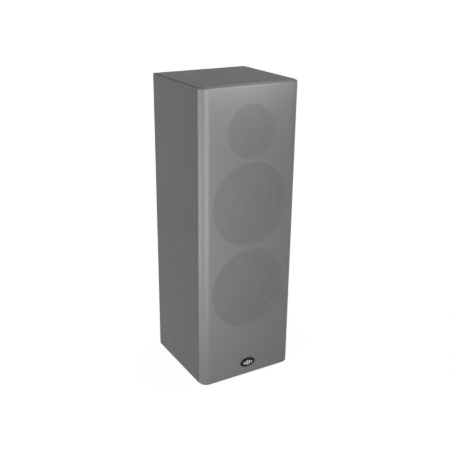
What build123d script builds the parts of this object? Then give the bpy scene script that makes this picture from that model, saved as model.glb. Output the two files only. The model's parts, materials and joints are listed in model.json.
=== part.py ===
from build123d import *
import math
import os

# Two-and-a-half-way column loudspeaker with a lift-off cloth grille.
# Millimetres. +Z is up, the listening side faces -Y, and the origin lies on the
# floor under the middle of the overall box.

# ------------------------------------------------------------------ fasteners
small_shank_radius = 1.75
small_head_radius = 3.3
small_head_height = 2.2
small_screw_length = 14.0
large_shank_radius = 2.0
large_head_radius = 3.4
large_head_height = 2.4
large_screw_length = 16.0
screw_hole_clearance = 0.2
# shares of the head's size
head_round_share = 0.45
head_slot_width_share = 0.28
head_slot_depth_share = 0.5

# ---------------------------------------------------------------- overall sizes
cabinet_width = 209.0
cabinet_height = 600.0
cabinet_depth = 182.0
foot_height = 4.0
grille_thickness = 17.2
grille_gap = 1.4
badge_proud = 2.0
rear_flange = 2.5

rear_proud = rear_flange + small_head_height
overall_depth = badge_proud + grille_thickness + grille_gap + cabinet_depth + rear_proud
cloth_front = -overall_depth / 2 + badge_proud
cabinet_front = cloth_front + grille_thickness + grille_gap
cabinet_rear = cabinet_front + cabinet_depth
cabinet_bottom = foot_height
cabinet_top = cabinet_bottom + cabinet_height

# --------------------------------------------------------------------- cabinet
wall = 15.0
edge_round = 2.0
baffle_thickness = 18.0
back_thickness = 15.0
brace_thickness = 12.0
brace_side_bar = 22.0
brace_front_bar = 30.0
brace_rear_bar = 26.0
brace_window_radius = 12.0
felt_thickness = 8.0
felt_margin = 10.0

inner_width = cabinet_width - 2 * wall
inner_bottom = cabinet_bottom + wall
inner_top = cabinet_top - wall
baffle_back = cabinet_front + baffle_thickness
back_inner = cabinet_rear - back_thickness

# ------------------------------------------------------- heights on the baffle
tweeter_height = 514.0
woofer_upper_height = 373.0
woofer_lower_height = 198.0
badge_height = 28.5
port_height = 450.0
cup_height = 110.0
brace_height = (woofer_upper_height + woofer_lower_height) / 2

# ---------------------------------------------------------------------- woofer
woofer_flange_radius = 79.0
woofer_flange_thickness = 4.0
woofer_hole_clearance = 0.5
gasket_thickness = 1.0
gasket_width = 5.0
basket_wall = 1.6
basket_mouth_radius = 72.5
basket_waist_radius = 52.0
basket_waist_depth = 30.0
basket_cup_radius = 42.6
basket_depth = 42.0
basket_spokes = 6
basket_window_angle = 38.0
basket_ledge_width = 8.0
basket_neck_clearance = 3.0
surround_thickness = 0.8
surround_lip_radius = 72.0
surround_roll_radius = 5.4
surround_centre_radius = 59.0
cone_edge_radius = 54.0
cone_glue_width = 5.5
surround_inner_lip = 4.8
cone_depth = 23.2
cone_thickness = 1.1
dust_cap_radius = 20.0
dust_cap_height = 6.5
dust_cap_thickness = 0.6
trim_ring_gap = 1.1
trim_ring_outer = 70.8
trim_ring_thickness = 1.6
former_radius = 13.2
former_wall = 0.3
former_start = 21.0
former_end = 51.0
winding_thickness = 0.6
winding_length = 10.0
coil_gap = 0.4
top_plate_radius = 36.0
top_plate_thickness = 5.0
magnet_radius = 40.0
magnet_hole_radius = 20.0
magnet_thickness = 13.0
yoke_radius = 36.0
yoke_thickness = 6.0
pole_gap = 0.5
pole_vent_radius = 5.0
pole_setback = 1.0
spider_lip_radius = 49.0
spider_thickness = 0.6
spider_wave = 1.2
spider_waves = 8
spider_neck_flat = 2.0
spider_rim_gap = 1.0
woofer_screw_circle = 74.6
woofer_screws_each = 4
tag_width = 7.0
tag_gap = 1.4
tag_length = 18.0
tag_thickness = 2.0
blade_length = 8.0
blade_thickness = 0.8
blade_spacing = 14.0
blade_width = 6.0

# --------------------------------------------------------------------- tweeter
tweeter_plate_radius = 49.0
tweeter_plate_thickness = 4.0
tweeter_hub_radius = 34.0
tweeter_hub_depth = 6.4
tweeter_mouth_radius = 38.0
tweeter_throat_radius = 16.4
tweeter_throat_depth = 4.4
tweeter_lip_radius = 20.0
silk_thickness = 0.4
dome_radius = 12.7
dome_height = 5.0
tweeter_roll_radius = 1.5
tweeter_top_plate_thickness = 4.0
tweeter_magnet_radius = 32.0
tweeter_magnet_hole_radius = 17.0
tweeter_magnet_thickness = 12.0
tweeter_yoke_thickness = 4.0
tweeter_former_length = 6.0
tweeter_former_wall = 0.25
tweeter_winding_thickness = 0.35
tweeter_winding_margin = 0.6
tweeter_roll_gap = 0.2
tweeter_screw_circle = 43.5
tweeter_screws_count = 4

# --------------------------------------------------------------------- grille
cloth_thickness = 0.6
grille_edge_radius = 17.0
grille_end_round = 3.6
woofer_window_radius = 83.0
tweeter_window_radius = 52.0
peg_inset = 26.5
peg_end_inset = 26.0
peg_radius = 3.4
peg_shank_radius = 3.0
peg_waist_radius = 2.6
peg_shank_length = 8.0
peg_length = 10.5
peg_neck_length = 3.7
peg_lead = 2.0
socket_radius = 6.0
socket_flange_radius = 8.0
socket_flange_thickness = 1.0
socket_depth = 13.0
socket_floor = 1.5
running_clearance = 0.05
badge_width = 35.0
badge_tall = 20.0
badge_bars = 5
badge_bar_width = 2.0
badge_bar_pitch = 4.4
badge_bar_heights = (4.0, 7.6, 11.0, 7.6, 4.0)
badge_bar_proud = 0.35
badge_edge_share = 0.35

# ------------------------------------------------------------------ rear port
port_radius = 25.0
port_wall = 2.5
port_length = 110.0
port_flare_radius = 8.0
port_flange_radius = 40.0

# -------------------------------------------------------------- terminal cup
cup_width = 92.0
cup_tall = 72.0
cup_corner = 7.0
recess_width = 70.0
recess_tall = 50.0
recess_corner = 8.0
recess_depth = 24.0
cup_wall = 2.0
cup_clearance = 0.5
cup_screw_inset = 6.0
post_spacing = 19.0
post_radius = 3.0
post_length = 14.0
post_tail = 9.0
post_collar_radius = 6.5
post_collar_thickness = 3.0
jack_radius = 2.05
jack_depth = 12.0
wire_hole_radius = 1.0
nut_radius = 5.0
nut_thickness = 4.0
washer_radius = 6.5
washer_thickness = 1.0
knob_radius = 7.0
knob_length = 15.0
knob_flutes = 12
knob_flute_radius = 1.2
knob_flute_start = 3.0
knob_edge_round = 1.0

# ------------------------------------------------------------ feet and inserts
foot_radius = 11.0
foot_inset = 24.0
foot_web = 1.6
foot_round = 1.0
insert_offset = 28.0
insert_radius = 4.5
insert_bore_radius = 2.5
insert_length = 12.0
insert_flange_radius = 6.0
insert_flange_thickness = 1.0

# ------------------------------------------------------------------ crossover
board_width = 130.0
board_depth = 78.0
board_thickness = 1.6
board_corner = 3.0
board_hole_inset = 6.0
spacer_height = 8.0
spacer_radius = 3.5
board_back_gap = 30.0
# coils: x and y on the board, outer radius, core radius, height
coil_layout = (
    (-24.0, 8.0, 17.0, 8.0, 16.0),
    (8.0, 14.0, 14.0, 6.5, 13.0),
    (42.0, -14.0, 18.0, 9.0, 18.0),
)
film_capacitor_places = ((-20.0, -28.0), (-44.0, -28.0))
film_capacitor_size = (20.0, 11.0, 18.0)
film_capacitor_round = 1.5
electrolytic_place = (40.0, 22.0)
electrolytic_radius = 6.5
electrolytic_height = 25.0
electrolytic_round = 1.0
resistor_places = ((2.0, -30.0), (2.0, -19.0))
resistor_size = (22.0, 8.0, 9.0)
resistor_round = 0.6
lead_radius = 2.2
input_lead_radius = 1.3
clip_size = 9.0
clip_width = 6.0
clip_side = 7.4
clip_heights = {
    "tweeter": (140.0, 230.0, 340.0, 400.0),
    "upper": (155.0, 225.0, 292.0),
    "lower": (125.0,),
}
lead_wall_gap = 6.0
lead_foot_inset = 17.0
lead_foot_rise = 26.0
lead_wall_rise = 74.0
lead_turn_below = 36.0
lead_turn_forward = 26.0
lead_straight_end = 34.0
input_lead_drop = 8.0


def depth(distance):
    """Y of a point this far behind the cabinet's front face."""
    return cabinet_front + distance


def height(above_bottom):
    """Z of a point this far above the underside of the cabinet."""
    return cabinet_bottom + above_bottom


def turned(points, z):
    """Solid of revolution about the line along Y at height z, from (radius, depth) points."""
    outline = [(radius, depth(distance)) for radius, distance in points]
    face = make_face(Polyline(*outline, close=True))
    return Pos(0, 0, z) * revolve(face, Axis.Y)


def ring(inner, outer, start, end, z):
    """Flat ring or tube on the line along Y at height z, between two depths."""
    return turned([(inner, start), (outer, start), (outer, end), (inner, end)], z)


def rod(radius, x, z, start, end):
    """Plain rod along Y between two depths."""
    length = end - start
    return Pos(x, depth(start) + length / 2, z) * Rot(90, 0, 0) * Cylinder(radius, length)


def block(x_range, y_range, z_range):
    """Box between two values on each axis."""
    spans = [high - low for low, high in (x_range, y_range, z_range)]
    middle = [(high + low) / 2 for low, high in (x_range, y_range, z_range)]
    return Pos(*middle) * Box(*spans)


def around(count, circle, start_angle=45.0):
    """(x, z) offsets of evenly spaced points on a circle."""
    offsets = []
    for index in range(count):
        angle = math.radians(start_angle + index * 360 / count)
        offsets.append((circle * math.cos(angle), circle * math.sin(angle)))
    return offsets


def corners(half_width, half_tall):
    """The four (u, v) corners of a centred rectangle."""
    return [(u * half_width, v * half_tall) for u in (-1, 1) for v in (-1, 1)]


def front_plate(width, tall, corner, start, end, x, z):
    """Plate parallel to the baffle, with rounded corners, between two depths."""
    outline = RectangleRounded(width, tall, corner)
    plane = Plane((x, depth(start), z), x_dir=(1, 0, 0), z_dir=(0, 1, 0))
    return extrude(plane * outline, end - start)


def pan_screw(shank, head, head_height, length):
    """Pan-head screw with its axis on Z: the head stands above z = 0, the shank below."""
    body = Pos(0, 0, -length / 2) * Cylinder(shank, length)
    cap = Pos(0, 0, head_height / 2) * Cylinder(head, head_height)
    cap = fillet(cap.edges().group_by(Axis.Z)[-1], head_height * head_round_share)
    slot_depth = head_height * head_slot_depth_share
    slot = Pos(0, 0, head_height - slot_depth / 2) * Box(head, head * head_slot_width_share, slot_depth)
    cross = slot + Rot(0, 0, 90) * slot
    return cap + body - cross


def small_screw():
    return pan_screw(small_shank_radius, small_head_radius, small_head_height, small_screw_length)


def large_screw():
    return pan_screw(large_shank_radius, large_head_radius, large_head_height, large_screw_length)


# The drivers' and fittings' screw places, shared by the screws and by their holes.
woofer_heights = {
    "upper": height(woofer_upper_height),
    "lower": height(woofer_lower_height),
}
tweeter_z = height(tweeter_height)
cup_z = height(cup_height)
port_z = height(port_height)
brace_z = height(brace_height)

woofer_screw_places = [
    (x, centre + z)
    for centre in woofer_heights.values()
    for x, z in around(woofer_screws_each, woofer_screw_circle)
]
tweeter_screw_places = [
    (x, tweeter_z + z) for x, z in around(tweeter_screws_count, tweeter_screw_circle)
]
cup_screw_places = [
    (x, cup_z + z)
    for x, z in corners(cup_width / 2 - cup_screw_inset, cup_tall / 2 - cup_screw_inset)
]
peg_places = [
    (side * (cabinet_width / 2 - peg_inset), z)
    for side in (-1, 1)
    for z in (cabinet_bottom + peg_end_inset, brace_z, cabinet_top - peg_end_inset)
]
foot_places = [
    (x, y)
    for x in (-cabinet_width / 2 + foot_inset, cabinet_width / 2 - foot_inset)
    for y in (cabinet_front + foot_inset, cabinet_rear - foot_inset)
]
insert_places = [
    (x, y + insert_offset if y < (cabinet_front + cabinet_rear) / 2 else y - insert_offset)
    for x, y in foot_places
]
board_y = back_inner - board_back_gap - board_depth / 2
board_under = inner_bottom + spacer_height
board_top = board_under + board_thickness
board_screw_places = [
    (x, board_y + y)
    for x, y in corners(board_width / 2 - board_hole_inset, board_depth / 2 - board_hole_inset)
]

woofer_rebate = woofer_flange_thickness + gasket_thickness
tweeter_rebate = tweeter_plate_thickness + gasket_thickness
basket_hole_radius = woofer_flange_radius - gasket_width - woofer_hole_clearance
lead_wall_y = back_inner - lead_wall_gap
lead_columns = {"tweeter": -60.0, "upper": -52.0, "lower": -44.0}


# --------------------------------------------------------------------- cabinet
def cabinet_wraps():
    """Four panels folded from one V-grooved board: they meet on 45-degree mitres."""
    middle_z = (cabinet_bottom + cabinet_top) / 2
    plane = Plane((0, cabinet_front, middle_z), x_dir=(1, 0, 0), z_dir=(0, -1, 0))
    outside = RectangleRounded(cabinet_width, cabinet_height, edge_round)
    inside = Rectangle(inner_width, cabinet_height - 2 * wall)
    shell = extrude(plane * (outside - inside), -cabinet_depth)
    half_w = cabinet_width / 2
    spare = wall
    walls = {}
    for name, side in (("side_panel_left", -1), ("side_panel_right", 1)):
        wedge = Polyline(
            (side * (half_w + spare), cabinet_bottom - spare - middle_z),
            (side * (half_w - wall), inner_bottom - middle_z),
            (side * (half_w - wall), inner_top - middle_z),
            (side * (half_w + spare), cabinet_top + spare - middle_z),
            close=True,
        )
        walls[name] = shell & extrude(plane * make_face(wedge), -cabinet_depth)
    for name, sign in (("bottom_panel", -1), ("top_panel", 1)):
        outer = sign * (cabinet_height / 2 + spare)
        inner = sign * (cabinet_height / 2 - wall)
        wedge = Polyline(
            (-half_w - spare, outer),
            (-half_w + wall, inner),
            (half_w - wall, inner),
            (half_w + spare, outer),
            close=True,
        )
        walls[name] = shell & extrude(plane * make_face(wedge), -cabinet_depth)
    return walls


def bottom_with_holes(panel):
    for x, y in foot_places:
        bite = small_screw_length - foot_web
        panel -= Pos(x, y, cabinet_bottom + bite / 2) * Cylinder(small_shank_radius, bite)
    for x, y in insert_places:
        flange_z = cabinet_bottom + insert_flange_thickness / 2
        panel -= Pos(x, y, cabinet_bottom + insert_length / 2) * Cylinder(insert_radius, insert_length)
        panel -= Pos(x, y, flange_z) * Cylinder(insert_flange_radius, insert_flange_thickness)
    bite = small_screw_length - board_thickness - spacer_height
    for x, y in board_screw_places:
        panel -= Pos(x, y, inner_bottom - bite / 2) * Cylinder(small_shank_radius, bite)
    return panel


def front_baffle():
    panel = block((-inner_width / 2, inner_width / 2), (cabinet_front, baffle_back), (inner_bottom, inner_top))
    for z in woofer_heights.values():
        panel -= rod(basket_hole_radius, 0, z, 0, baffle_thickness)
        panel -= rod(woofer_flange_radius + woofer_hole_clearance, 0, z, 0, woofer_rebate)
    panel -= rod(tweeter_hub_radius + woofer_hole_clearance, 0, tweeter_z, 0, baffle_thickness)
    panel -= rod(tweeter_plate_radius + woofer_hole_clearance, 0, tweeter_z, 0, tweeter_rebate)
    for x, z in peg_places:
        panel -= rod(socket_radius, x, z, 0, socket_depth)
    for x, z in woofer_screw_places:
        panel -= rod(large_shank_radius, x, z, 0, large_screw_length)
    for x, z in tweeter_screw_places:
        panel -= rod(small_shank_radius, x, z, 0, small_screw_length)
    return panel


def back_panel():
    panel = block((-inner_width / 2, inner_width / 2), (back_inner, cabinet_rear), (inner_bottom, inner_top))
    inner_start = cabinet_depth - back_thickness
    panel -= rod(port_radius + port_wall, 0, port_z, inner_start, cabinet_depth)
    spare = 2 * (cup_wall + cup_clearance)
    panel -= front_plate(
        recess_width + spare, recess_tall + spare, recess_corner + spare / 2, inner_start, cabinet_depth, 0, cup_z
    )
    for x, z in cup_screw_places:
        bite = small_screw_length - rear_flange
        panel -= rod(small_shank_radius, x, z, cabinet_depth - bite, cabinet_depth)
    return panel


def window_brace():
    """Shelf between the two woofers, glued to all four walls round it, with a rounded window."""
    z_range = (brace_z - brace_thickness / 2, brace_z + brace_thickness / 2)
    shelf = block((-inner_width / 2, inner_width / 2), (baffle_back, back_inner), z_range)
    clear_width = inner_width - 2 * brace_side_bar
    clear_depth = back_inner - baffle_back - brace_front_bar - brace_rear_bar
    middle_y = (baffle_back + brace_front_bar + back_inner - brace_rear_bar) / 2
    window = RectangleRounded(clear_width, clear_depth, brace_window_radius)
    shelf -= Pos(0, middle_y, z_range[0]) * extrude(window, brace_thickness)
    left = lead_columns["tweeter"] - 2 * lead_radius
    right = lead_columns["upper"] + 2 * lead_radius
    shelf -= block((left, right), (lead_wall_y - 2 * lead_radius, back_inner), z_range)
    return shelf


def damping_felt():
    """Four wool-felt sheets glued to the side walls, above and below the brace."""
    sheets = []
    y_range = (baffle_back + felt_margin, back_inner - felt_margin)
    spans = (
        (inner_bottom + felt_margin, brace_z - brace_thickness / 2 - felt_margin),
        (brace_z + brace_thickness / 2 + felt_margin, inner_top - felt_margin),
    )
    for side in (-1, 1):
        face = side * inner_width / 2
        x_range = tuple(sorted((face, face - side * felt_thickness)))
        for z_range in spans:
            sheets.append(block(x_range, y_range, z_range))
    return sheets


def feet():
    """Rubber rings whose counterbore hides the screw head above the floor."""
    profile = Polyline(
        (small_shank_radius + screw_hole_clearance, foot_height),
        (small_shank_radius + screw_hole_clearance, foot_height - foot_web),
        (small_head_radius + 2 * screw_hole_clearance, foot_height - foot_web),
        (small_head_radius + 2 * screw_hole_clearance, 0),
        (foot_radius - foot_round, 0),
        (foot_radius, foot_round),
        (foot_radius, foot_height),
        close=True,
    )
    plane = Plane((0, 0, 0), x_dir=(1, 0, 0), z_dir=(0, -1, 0))
    foot = revolve(plane * make_face(profile), Axis.Z)
    return [Pos(x, y, 0) * foot for x, y in foot_places]


def spike_inserts():
    """Flanged brass bushes for M6 spikes; the bore is the thread's minor diameter."""
    body = Pos(0, 0, insert_length / 2) * Cylinder(insert_radius, insert_length)
    body += Pos(0, 0, insert_flange_thickness / 2) * Cylinder(insert_flange_radius, insert_flange_thickness)
    body -= Pos(0, 0, insert_length / 2) * Cylinder(insert_bore_radius, insert_length)
    return [Pos(x, y, cabinet_bottom) * body for x, y in insert_places]


# ---------------------------------------------------------------------- woofer
def basket(z):
    """Pressed-steel chassis: flange with a ledge for the surround, spokes, spider shelf and rear cup."""
    shelf = basket_waist_depth - basket_wall
    cup_inner = basket_cup_radius - basket_wall
    floor = basket_depth - basket_wall
    neck = former_radius + basket_neck_clearance
    inner_lip = surround_lip_radius - basket_ledge_width
    chassis = turned(
        [
            (woofer_flange_radius, 0),
            (woofer_flange_radius, woofer_flange_thickness),
            (basket_mouth_radius, woofer_flange_thickness),
            (basket_waist_radius, basket_waist_depth),
            (basket_cup_radius, basket_waist_depth),
            (basket_cup_radius, basket_depth),
            (neck, basket_depth),
            (neck, floor),
            (cup_inner, floor),
            (cup_inner, shelf),
            (basket_waist_radius - basket_wall, shelf),
            (basket_mouth_radius - 2 * basket_wall, surround_thickness + basket_wall),
            (inner_lip, surround_thickness + basket_wall),
            (inner_lip, surround_thickness),
            (surround_lip_radius, surround_thickness),
            (surround_lip_radius, 0),
        ],
        z,
    )
    window_start = woofer_flange_thickness + 2 * basket_wall
    window_end = shelf - 2 * basket_wall
    cutter_profile = Polyline(
        (basket_cup_radius, depth(window_start)),
        (woofer_flange_radius, depth(window_start)),
        (woofer_flange_radius, depth(window_end)),
        (basket_cup_radius, depth(window_end)),
        close=True,
    )
    cutter = revolve(make_face(cutter_profile), Axis.Y, basket_window_angle)
    for index in range(basket_spokes):
        turn = index * 360 / basket_spokes - basket_window_angle / 2 + 180 / basket_spokes
        chassis -= Pos(0, 0, z) * Rot(0, turn, 0) * cutter
    hole = large_shank_radius + screw_hole_clearance
    for x, offset in around(woofer_screws_each, woofer_screw_circle):
        chassis -= rod(hole, x, z + offset, 0, woofer_flange_thickness)
    return chassis


def surround(z):
    """Rubber half roll with a flat lip each side."""
    outer = surround_roll_radius
    inner = surround_roll_radius - surround_thickness
    centre = surround_centre_radius
    inner_lip = cone_edge_radius - surround_inner_lip
    t = surround_thickness
    y = depth
    wires = [
        Line((surround_lip_radius, y(0)), (centre + outer, y(0))),
        ThreePointArc((centre + outer, y(0)), (centre, y(-outer)), (centre - outer, y(0))),
        Line((centre - outer, y(0)), (inner_lip, y(0))),
        Line((inner_lip, y(0)), (inner_lip, y(t))),
        Line((inner_lip, y(t)), (centre - inner, y(t))),
        Line((centre - inner, y(t)), (centre - inner, y(0))),
        ThreePointArc((centre - inner, y(0)), (centre, y(-inner)), (centre + inner, y(0))),
        Line((centre + inner, y(0)), (centre + inner, y(t))),
        Line((centre + inner, y(t)), (surround_lip_radius, y(t))),
        Line((surround_lip_radius, y(t)), (surround_lip_radius, y(0))),
    ]
    return Pos(0, 0, z) * revolve(make_face(wires), Axis.Y)


cone_shoulder_radius = cone_edge_radius - cone_glue_width
cone_slope = cone_depth / (cone_shoulder_radius - former_radius)


def cone_front(radius):
    """Depth of the cone's front surface at a radius inside its shoulder."""
    return surround_thickness + (cone_shoulder_radius - radius) * cone_slope


def cone(z):
    back = surround_thickness + cone_thickness
    return turned(
        [
            (cone_edge_radius, surround_thickness),
            (cone_shoulder_radius, surround_thickness),
            (former_radius, cone_front(former_radius)),
            (former_radius, cone_front(former_radius) + cone_thickness),
            (cone_shoulder_radius, back),
            (cone_edge_radius, back),
        ],
        z,
    )


def domed(rim_radius, rim_depth, rise, thickness, edge_slope, z):
    """Spherical cap shell whose rim lies on a cone of the given slope through the rim circle."""
    ball_radius = (rim_radius**2 + rise**2) / (2 * rise)
    apex = rim_depth - rise
    centre = Pos(0, depth(apex + ball_radius), z)
    shell = centre * Sphere(ball_radius) - centre * Sphere(ball_radius - thickness)
    keep = turned(
        [
            (0, apex - rise),
            (rim_radius, apex - rise),
            (rim_radius, rim_depth),
            (0, rim_depth + rim_radius * edge_slope),
        ],
        z,
    )
    return shell & keep


def dust_cap(z):
    """Shallow dome whose rim is cut to the slope of the cone it is glued to."""
    rim = dust_cap_radius
    return domed(rim, cone_front(rim), dust_cap_height, dust_cap_thickness, cone_slope, z)


def spider(z):
    """Corrugated cloth disc that centres the coil, drawn as arcs that swing either way."""
    shelf = basket_waist_depth - basket_wall
    neck = former_radius
    wave_start = neck + spider_neck_flat
    wave_end = basket_cup_radius - basket_wall - spider_rim_gap
    step = (wave_end - wave_start) / spider_waves
    wires = []
    for face_depth in (shelf - spider_thickness, shelf):
        last = (wave_start, depth(face_depth))
        wires.append(Line((neck, depth(face_depth)), last))
        for index in range(spider_waves):
            swing = spider_wave if index % 2 else -spider_wave
            crest = (last[0] + step / 2, depth(face_depth + swing))
            end = (last[0] + step, depth(face_depth))
            wires.append(ThreePointArc(last, crest, end))
            last = end
        wires.append(Line(last, (spider_lip_radius, depth(face_depth))))
    for radius in (neck, spider_lip_radius):
        wires.append(Line((radius, depth(shelf - spider_thickness)), (radius, depth(shelf))))
    return Pos(0, 0, z) * revolve(make_face(wires), Axis.Y)


def woofer_voice_coil(z):
    """Former tube with its winding, centred on the top plate's gap."""
    inside = former_radius - former_wall
    outside = former_radius + winding_thickness
    middle = basket_depth + top_plate_thickness / 2
    winding = (middle - winding_length / 2, middle + winding_length / 2)
    return turned(
        [
            (inside, former_start),
            (former_radius, former_start),
            (former_radius, winding[0]),
            (outside, winding[0]),
            (outside, winding[1]),
            (former_radius, winding[1]),
            (former_radius, former_end),
            (inside, former_end),
        ],
        z,
    )


gap_radius = former_radius + winding_thickness + coil_gap
pole_radius = former_radius - former_wall - pole_gap
magnet_start = basket_depth + top_plate_thickness
yoke_start = magnet_start + magnet_thickness


def woofer_yoke(z):
    """Back plate and pole in one forging, with a vent through the pole."""
    return turned(
        [
            (pole_vent_radius, basket_depth - pole_setback),
            (pole_radius, basket_depth - pole_setback),
            (pole_radius, yoke_start),
            (yoke_radius, yoke_start),
            (yoke_radius, yoke_start + yoke_thickness),
            (pole_vent_radius, yoke_start + yoke_thickness),
        ],
        z,
    )


tag_x = -(basket_cup_radius + tag_gap + tag_width / 2)


def tag_strip(x, z, start):
    """Terminal strip with two push-on blades, standing on a flat face at this depth."""
    strip = block(
        (x - tag_width / 2, x + tag_width / 2),
        (depth(start), depth(start + tag_thickness)),
        (z - tag_length / 2, z + tag_length / 2),
    )
    for side in (-1, 1):
        blade_z = z + side * blade_spacing / 2
        strip += block(
            (x - blade_width / 2, x + blade_width / 2),
            (depth(start + tag_thickness), depth(start + tag_thickness + blade_length)),
            (blade_z - blade_thickness / 2, blade_z + blade_thickness / 2),
        )
    return strip


# --------------------------------------------------------------------- tweeter
dome_rim_depth = tweeter_hub_depth - silk_thickness
tweeter_magnet_start = tweeter_hub_depth + tweeter_top_plate_thickness
tweeter_yoke_start = tweeter_magnet_start + tweeter_magnet_thickness
tweeter_end = tweeter_yoke_start + tweeter_yoke_thickness


def tweeter_faceplate():
    """Round plate with a shallow horn; its hub clamps the silk against the top plate."""
    clamp = tweeter_hub_depth - silk_thickness
    plate = turned(
        [
            (tweeter_plate_radius, 0),
            (tweeter_plate_radius, tweeter_plate_thickness),
            (tweeter_hub_radius, tweeter_plate_thickness),
            (tweeter_hub_radius, tweeter_hub_depth),
            (tweeter_lip_radius, tweeter_hub_depth),
            (tweeter_lip_radius, clamp),
            (tweeter_throat_radius, clamp),
            (tweeter_throat_radius, tweeter_throat_depth),
            (tweeter_mouth_radius, 0),
        ],
        tweeter_z,
    )
    for x, z in tweeter_screw_places:
        plate -= rod(small_shank_radius + screw_hole_clearance, x, z, 0, tweeter_plate_thickness)
    return plate


def tweeter_dome():
    """Coated silk dome that stands on the end of the voice-coil former."""
    return domed(dome_radius, dome_rim_depth, dome_height, silk_thickness, 0.0, tweeter_z)


def tweeter_surround():
    """Small half roll between the dome's rim and the clamped lip."""
    base = dome_rim_depth
    back = tweeter_hub_depth
    centre = dome_radius + tweeter_roll_gap + tweeter_roll_radius
    outer = tweeter_roll_radius
    inner = tweeter_roll_radius - silk_thickness
    wires = [
        Line((tweeter_lip_radius, depth(base)), (centre + outer, depth(base))),
        ThreePointArc(
            (centre + outer, depth(base)), (centre, depth(base - outer)), (centre - outer, depth(base))
        ),
        Line((centre - outer, depth(base)), (dome_radius, depth(base))),
        Line((dome_radius, depth(base)), (dome_radius, depth(back))),
        Line((dome_radius, depth(back)), (centre - inner, depth(back))),
        Line((centre - inner, depth(back)), (centre - inner, depth(base))),
        ThreePointArc(
            (centre - inner, depth(base)), (centre, depth(base - inner)), (centre + inner, depth(base))
        ),
        Line((centre + inner, depth(base)), (centre + inner, depth(back))),
        Line((centre + inner, depth(back)), (tweeter_lip_radius, depth(back))),
        Line((tweeter_lip_radius, depth(back)), (tweeter_lip_radius, depth(base))),
    ]
    return Pos(0, 0, tweeter_z) * revolve(make_face(wires), Axis.Y)


tweeter_gap_radius = dome_radius + tweeter_winding_thickness + coil_gap
tweeter_pole_radius = dome_radius - tweeter_former_wall - pole_gap


def tweeter_voice_coil():
    inside = dome_radius - tweeter_former_wall
    outside = dome_radius + tweeter_winding_thickness
    end = dome_rim_depth + tweeter_former_length
    winding = (tweeter_hub_depth + tweeter_winding_margin, tweeter_magnet_start - tweeter_winding_margin)
    return turned(
        [
            (inside, dome_rim_depth),
            (dome_radius, dome_rim_depth),
            (dome_radius, winding[0]),
            (outside, winding[0]),
            (outside, winding[1]),
            (dome_radius, winding[1]),
            (dome_radius, end),
            (inside, end),
        ],
        tweeter_z,
    )


def tweeter_yoke():
    return turned(
        [
            (0, tweeter_hub_depth + pole_setback),
            (tweeter_pole_radius, tweeter_hub_depth + pole_setback),
            (tweeter_pole_radius, tweeter_yoke_start),
            (tweeter_hub_radius, tweeter_yoke_start),
            (tweeter_hub_radius, tweeter_end),
            (0, tweeter_end),
        ],
        tweeter_z,
    )


# ------------------------------------------------------------------ rear fittings
def port_tube():
    """Reflex tube with a flange on the rear face and a quarter-round flare at its mouth."""
    mouth = cabinet_depth + rear_flange
    start = cabinet_depth - port_length
    outside = port_radius + port_wall
    flare_start = mouth - port_flare_radius
    flare_end = port_radius + port_flare_radius
    bend = math.sqrt(0.5) * port_flare_radius
    wires = [
        Line((port_radius, depth(start)), (port_radius, depth(flare_start))),
        ThreePointArc(
            (port_radius, depth(flare_start)),
            (flare_end - bend, depth(flare_start + bend)),
            (flare_end, depth(mouth)),
        ),
        Line((flare_end, depth(mouth)), (port_flange_radius, depth(mouth))),
        Line((port_flange_radius, depth(mouth)), (port_flange_radius, depth(cabinet_depth))),
        Line((port_flange_radius, depth(cabinet_depth)), (outside, depth(cabinet_depth))),
        Line((outside, depth(cabinet_depth)), (outside, depth(start))),
        Line((outside, depth(start)), (port_radius, depth(start))),
    ]
    return Pos(0, 0, port_z) * revolve(make_face(wires), Axis.Y)


recess_floor = cabinet_depth - recess_depth
post_places = [(side * post_spacing / 2, cup_z) for side in (-1, 1)]
collar_end = recess_floor + post_collar_thickness
knob_start = collar_end + washer_thickness


def terminal_cup():
    """Moulded dish with a flange on the rear face and the two posts on its floor."""
    outer_width = recess_width + 2 * cup_wall
    outer_tall = recess_tall + 2 * cup_wall
    dish = front_plate(
        outer_width, outer_tall, recess_corner + cup_wall, recess_floor - cup_wall, cabinet_depth, 0, cup_z
    )
    dish += front_plate(
        cup_width, cup_tall, cup_corner, cabinet_depth, cabinet_depth + rear_flange, 0, cup_z
    )
    dish -= front_plate(
        recess_width, recess_tall, recess_corner, recess_floor, cabinet_depth + rear_flange, 0, cup_z
    )
    for x, z in post_places:
        dish -= rod(post_radius, x, z, recess_floor - cup_wall, recess_floor)
    for x, z in cup_screw_places:
        hole = small_shank_radius + screw_hole_clearance
        dish -= rod(hole, x, z, cabinet_depth, cabinet_depth + rear_flange)
    return dish


def binding_posts():
    """Threaded studs with a collar, a plug bore in the end and a cross hole for bare wire."""
    posts = []
    tail = recess_floor - cup_wall - post_tail
    end = collar_end + post_length
    for x, z in post_places:
        stud = rod(post_radius, x, z, tail, end)
        stud += rod(post_collar_radius, x, z, recess_floor, collar_end)
        stud -= rod(jack_radius, x, z, end - jack_depth, end)
        hole_y = depth(knob_start + wire_hole_radius / 2)
        stud -= Pos(x, hole_y, z) * Cylinder(wire_hole_radius, 2 * post_radius)
        posts.append(stud)
    return posts


def post_nuts():
    start = recess_floor - cup_wall - nut_thickness
    nuts = []
    for x, z in post_places:
        plane = Plane((x, depth(start), z), x_dir=(1, 0, 0), z_dir=(0, 1, 0))
        hexagon = RegularPolygon(nut_radius, 6) - Circle(post_radius)
        nuts.append(extrude(plane * hexagon, nut_thickness))
    return nuts


def clamp_washer(x):
    """Loose captive washer that presses the wire without turning."""
    bore = post_radius + running_clearance
    washer = rod(washer_radius, x, cup_z, collar_end, knob_start)
    return washer - rod(bore, x, cup_z, collar_end, knob_start)


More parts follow.
